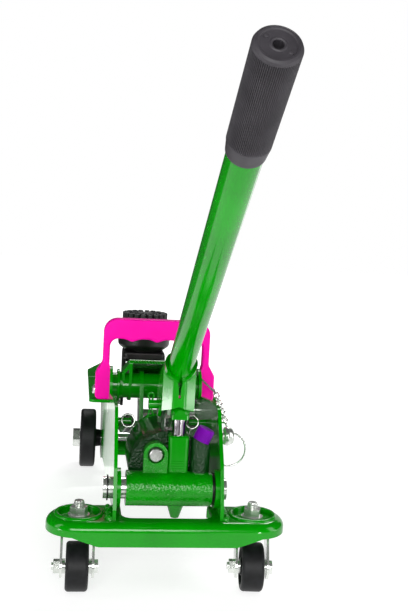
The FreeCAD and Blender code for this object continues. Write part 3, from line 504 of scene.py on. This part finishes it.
# teeth pressed into the rear edge of the arm's top: one domed tooth copied across
toothLook = {"count": 17, "pitch": 2.7, "edge": (0, 124.2, 158.2), "lean": (0, -0.75, 0.66),
             "section": ((1.05, -0.8), (1.05, 0.76), (0.63, 1.52), (0.1, 1.9)), "sides": 12}
tooth = ringStack(toothLook["section"], toothLook["sides"])
layAlong(tooth, toothLook["lean"], Vector(toothLook["edge"]) * mm)
bpy.ops.object.transform_apply(location=True, rotation=True, scale=True)
teeth = [copyOf(tooth, ((k - (toothLook["count"] - 1) / 2) * toothLook["pitch"], 0, 0))
         for k in range(toothLook["count"])]
bpy.data.objects.remove(tooth)
finishPiece(joinAll(teeth), "armTeeth", greenEnamel, "lift", smoothAngle=40)

# stiffening rib under the saddle carrier's bridge
ribLook = {"half": 20.8, "ahead": (2.0, 10.0), "low": 125.5, "bevel": 1.2, "bevelSteps": 3}
headMiddle = boxMiddle("head_pin") / mm
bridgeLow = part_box("saddle")[0].z / mm
bpy.ops.object.select_all(action="DESELECT")
ribStart, ribStop = ribLook["ahead"]
ribMiddle = Vector((0, headMiddle.y + (ribStart + ribStop) / 2, (ribLook["low"] + bridgeLow) / 2))
bpy.ops.mesh.primitive_cube_add(size=1, location=ribMiddle * mm)
rib = bpy.context.active_object
rib.scale = Vector((2 * ribLook["half"], ribStop - ribStart, bridgeLow - ribLook["low"])) * mm
bpy.ops.object.transform_apply(location=True, rotation=True, scale=True)
bpy.ops.object.mode_set(mode="EDIT")
bpy.ops.mesh.select_all(action="SELECT")
bpy.ops.mesh.bevel(offset=ribLook["bevel"] * mm, segments=ribLook["bevelSteps"], affect="EDGES")
bpy.ops.object.mode_set(mode="OBJECT")
finishPiece(rib, "carrierRib", blackPaint, "carrier", smoothAngle=40)
print("collars, teeth and rib in place")

# threads on the caster stems above their nuts: ridges stacked ring by ring
threadLook = {"root": 4.02, "crest": 4.5, "pitch": 1.25, "flat": (0.5, 0.7), "start": 0.1, "bareTip": 0.9,
              "sides": 32}
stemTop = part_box("stem_left")[1].z / mm
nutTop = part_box("stem_nut_left")[1].z / mm
ridges = int((stemTop - threadLook["bareTip"] - nutTop) / threadLook["pitch"])
for side in ("left", "right"):
    rings = [(threadLook["root"], nutTop + threadLook["start"])]
    for k in range(ridges):
        low = nutTop + threadLook["start"] + k * threadLook["pitch"]
        rings += [(threadLook["crest"], low + rise) for rise in threadLook["flat"]]
        rings += [(threadLook["root"], low + threadLook["pitch"])]
    thread = ringStack(rings, threadLook["sides"], closed=False)
    middle = boxMiddle("stem_" + side)
    layAlong(thread, (0, 0, 1), Vector((middle.x, middle.y, 0)))
    finishPiece(thread, "stemThread" + side.capitalize(), zincPlate, "chassis", smoothAngle=20)

# screws of the carry handle: domed heads with a turned recess on the outer faces of its feet
headLook = {"section": ((5.2, -0.2), (5.2, 0.7), (4.472, 1.8), (3.12, 2.6),
                        (2.184, 2.6), (1.872, 1.0), (0.2, 1.0)), "sides": 36, "z": 127.0}
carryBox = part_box("carry_handle")
for side, sign, edge in (("left", -1, carryBox[0].x), ("right", 1, carryBox[1].x)):
    head = ringStack(headLook["section"], headLook["sides"])
    layAlong(head, (sign, 0, 0), Vector((edge, boxMiddle("carry_handle").y, headLook["z"] * mm)))
    finishPiece(head, "carryScrew" + side.capitalize(), zincPlate, "chassis", smoothAngle=30)

# slotted end of the release screw: two cheeks either side of the slot
slotLook = {"half": 0.9, "deep": 2.2, "edge": 0.5, "turn": 35, "sides": 40}
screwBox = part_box("release_screw")
screwRadius = (screwBox[1].x - screwBox[0].x) / 2 / mm
screwLong = (screwBox[1].y - screwBox[0].y) / mm
slotFloor = screwLong - slotLook["deep"]
shank = ringStack([(screwRadius, 0), (screwRadius, slotFloor)], slotLook["sides"])
cheek = ringStack([(screwRadius, slotFloor), (screwRadius, screwLong - slotLook["edge"]),
                   (screwRadius - slotLook["edge"], screwLong)], slotLook["sides"])
bpy.ops.object.mode_set(mode="EDIT")
bpy.ops.mesh.select_all(action="SELECT")
bpy.ops.mesh.bisect(plane_co=(slotLook["half"] * mm, 0, 0), plane_no=(1, 0, 0),
                    use_fill=True, clear_inner=True)
bpy.ops.object.mode_set(mode="OBJECT")
screw = joinAll([shank, cheek, copyOf(cheek, turn=math.pi)])
screw.rotation_euler = (0, 0, math.radians(slotLook["turn"]))
bpy.ops.object.transform_apply(location=True, rotation=True, scale=True)
middle = (screwBox[0] + screwBox[1]) / 2
layAlong(screw, (0, -1, 0), Vector((middle.x, screwBox[1].y, middle.z)))
finishPiece(screw, "releaseScrewSlot", zincPlate, "release_screw", smoothAngle=30)
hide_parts("release_screw")
print("threads, screws and slot cut")

# camera at the photograph's place: looking from behind, a little from the left and above
cameraLook = {"place": (-0.0837, -0.78043, 0.3175), "right": (0.98939, -0.13335, 0.05774),
              "up": (-0.04230, 0.11591, 0.99236), "focalPixels": 921, "longSidePixels": 612, "sensor": 36}
right = Vector(cameraLook["right"]).normalized()
up = Vector(cameraLook["up"])
up = (up - right * up.dot(right)).normalized()
back = right.cross(up)
cameraData = bpy.data.cameras.new("photoCamera")
cameraData.sensor_width = cameraLook["sensor"]
cameraData.lens = cameraLook["sensor"] * cameraLook["focalPixels"] / cameraLook["longSidePixels"]
cameraData.clip_end = 20
camera = bpy.data.objects.new("photoCamera", cameraData)
turn = Matrix((right, up, back)).transposed().to_4x4()
camera.matrix_world = Matrix.Translation(Vector(cameraLook["place"])) @ turn
scene.collection.objects.link(camera)
scene.camera = camera

# white sweep and dark room: the camera sees white, the gloss sees the room's dark walls and the lit paper
studio = {"fill": 0.1, "bounce": 0.5, "room": 0.04, "aim": (0, -0.05, 0.13)}
world = bpy.data.worlds.new("studio")
scene.world = world
world.use_nodes = True
tree = world.node_tree
tree.nodes.clear()
ray = addNode(tree, "ShaderNodeLightPath").outputs
walls = addNode(tree, "ShaderNodeMapRange", None, {"To Min": studio["fill"], "To Max": studio["room"]},
                {"Value": ray["Is Glossy Ray"]})
seen = addNode(tree, "ShaderNodeMath", {"operation": "ADD", "use_clamp": True}, None,
               {0: ray["Is Camera Ray"], 1: ray["Is Transmission Ray"]})
level = addNode(tree, "ShaderNodeMapRange", None, {"To Max": 1.0},
                {"Value": seen.outputs["Value"], "To Min": walls.outputs["Result"]})
sky = addNode(tree, "ShaderNodeBackground", None, {"Color": (1, 1, 1, 1)},
              {"Strength": level.outputs["Result"]})
addNode(tree, "ShaderNodeOutputWorld", None, None, {"Surface": sky.outputs["Background"]})

# paper floor, in metres: white to the camera, with the jack's soft shadow near it. In the gloss it is a painted
# reflection: a painted shadow under the jack and a painted dark patch past its left front edge, and it fades out
# along
# Y, later on the left and latest on the right. Each range is a place or distance, its start and end, and the
# values there
floorLook = {"size": 8.0, "drop": 0.0005, "paper": (0.9, 0.9, 0.9, 1), "seenPaper": (0.5, 0.5, 0.5, 1),
             "shade": 0.06,
             "ranges": {"cutAhead": ("Y", 0.19, 0.21, 0, 1), "cutLeft": ("X", -0.245, -0.265, 0, 1),
                        "underAcross": ("offX", 0.055, 0.035, 0, 1), "underAhead": ("Y", -0.05, 0, 0, 1),
                        "reachLeft": ("X", -0.057, -0.067, 0.4, 0.8), "reachRight": ("X", 0.1, 0.14, 0, 3.6),
                        "seenGlow": ("away", 0.45, 0.9, 0.74, 1)},
             "sums": {"cut": ("MULTIPLY", "cutAhead", "cutLeft"),
                      "under": ("MULTIPLY", "underAcross", "underAhead"),
                      "dark": ("MAXIMUM", "cut", "under"), "reach": ("ADD", "reachLeft", "reachRight"),
                      "share": ("DIVIDE", "offY", "reach")},
             "fade": {"From Min": 1.05, "From Max": 0.75, "To Min": 0.05, "To Max": 1.0}}
bpy.ops.object.select_all(action="DESELECT")
bpy.ops.mesh.primitive_plane_add(size=floorLook["size"], location=(0, 0, -floorLook["drop"]))
floor = bpy.context.active_object
floor.name = "floor"
bpy.ops.object.transform_apply(location=True, rotation=True, scale=True)
material, tree, out, place = newMaterial("white paper floor")
spot = addNode(tree, "ShaderNodeSeparateXYZ", None, None, {"Vector": place}).outputs
away = addNode(tree, "ShaderNodeVectorMath", {"operation": "LENGTH"}, None, {0: place})
level = {"X": spot["X"], "Y": spot["Y"], "away": away.outputs["Value"]}
for axis in ("X", "Y"):
    off = addNode(tree, "ShaderNodeMath", {"operation": "ABSOLUTE"}, None, {0: spot[axis]})
    level["off" + axis] = off.outputs["Value"]
for name, (source, start, end, low, high) in floorLook["ranges"].items():
    span = {"From Min": start, "From Max": end, "To Min": low, "To Max": high}
    level[name] = addNode(tree, "ShaderNodeMapRange", None, span, {"Value": level[source]}).outputs["Result"]
for name, (operation, first, second) in floorLook["sums"].items():
    total = addNode(tree, "ShaderNodeMath", {"operation": operation}, None,
                    {0: level[first], 1: level[second]})
    level[name] = total.outputs["Value"]
# painted reflection: the floor's gloss glows over a patch only, with a painted shadow under the jack and a painted
# dark patch past its left front edge
lit = addNode(tree, "ShaderNodeMapRange", None, floorLook["fade"], {"Value": level["share"]})
paperGloss = addNode(tree, "ShaderNodeMapRange", None, {"To Max": floorLook["shade"]},
                     {"Value": level["dark"], "To Min": lit.outputs["Result"]})
ray = addNode(tree, "ShaderNodeLightPath").outputs
paper = addNode(tree, "ShaderNodeBsdfDiffuse", None, {"Color": floorLook["paper"]})
glow = addNode(tree, "ShaderNodeEmission", None, {"Color": (1, 1, 1, 1), "Strength": studio["bounce"]})
lift = addNode(tree, "ShaderNodeAddShader", None, None,
               {0: paper.outputs["BSDF"], 1: glow.outputs["Emission"]})
white = addNode(tree, "ShaderNodeEmission", None, {"Color": (1, 1, 1, 1)},
                {"Strength": paperGloss.outputs["Result"]})
mirrored = addNode(tree, "ShaderNodeMixShader", None, None,
                   {"Fac": ray["Is Glossy Ray"], 1: lift.outputs["Shader"], 2: white.outputs["Emission"]})
seenPaper = addNode(tree, "ShaderNodeBsdfDiffuse", None, {"Color": floorLook["seenPaper"]})
seenGlow = addNode(tree, "ShaderNodeEmission", None, {"Color": (1, 1, 1, 1)}, {"Strength": level["seenGlow"]})
seen = addNode(tree, "ShaderNodeAddShader", None, None,
               {0: seenPaper.outputs["BSDF"], 1: seenGlow.outputs["Emission"]})
mix = addNode(tree, "ShaderNodeMixShader", None, None,
              {"Fac": ray["Is Camera Ray"], 1: mirrored.outputs["Shader"], 2: seen.outputs["Shader"]})
tree.links.new(mix.outputs["Shader"], out.inputs["Surface"])
floor.data.materials.append(material)

# large lamps light the jack; the small cards near it give the pale facets of the socket, the glints on the
# casting, the pale side of the left plate and the pale right edge of the tube
lamps = {
    "softboxBehind": {"place": (-0.3, -1.7, 0.72), "size": (1.2, 0.6), "watts": 21.5},
    "stripLeft": {"place": (-1.35, -0.25, 0.75), "size": (0.35, 1.2), "watts": 3.5},
    "stripRight": {"place": (1.3, -0.5, 0.6), "size": (0.5, 1.0), "watts": 5},
    "cardRight": {"place": (0.86, 1.2, 0.35), "size": (0.8, 0.8), "watts": 2},
    "lowCardLeft": {"place": (-0.54, -0.252, 0.02), "size": (0.12, 0.024), "watts": 0.36},
    "lowCardRight": {"place": (0.58, -0.122, 0.035), "size": (0.12, 0.03), "watts": 0.12},
    "glintCard": {"place": (0.2, -0.38, 0.06), "size": (0.03, 0.03), "watts": 0.2},
    "plateCard": {"place": (-0.067, 0.235, 0.06), "size": (0.036, 0.12), "watts": 0.011},
    "softboxFront": {"place": (0.5, 1.5, 1.5), "size": (1.0, 0.5), "watts": 18}}
target = Vector(studio["aim"])
for name, lamp in lamps.items():
    data = bpy.data.lights.new(name, "AREA")
    data.energy = lamp["watts"]
    data.shape = "RECTANGLE"
    data.size, data.size_y = lamp["size"]
    light = bpy.data.objects.new(name, data)
    light.location = lamp["place"]
    light.rotation_euler = (target - Vector(lamp["place"])).to_track_quat("-Z", "Y").to_euler()
    scene.collection.objects.link(light)
print("studio set")

scene.view_settings.view_transform = "Standard"
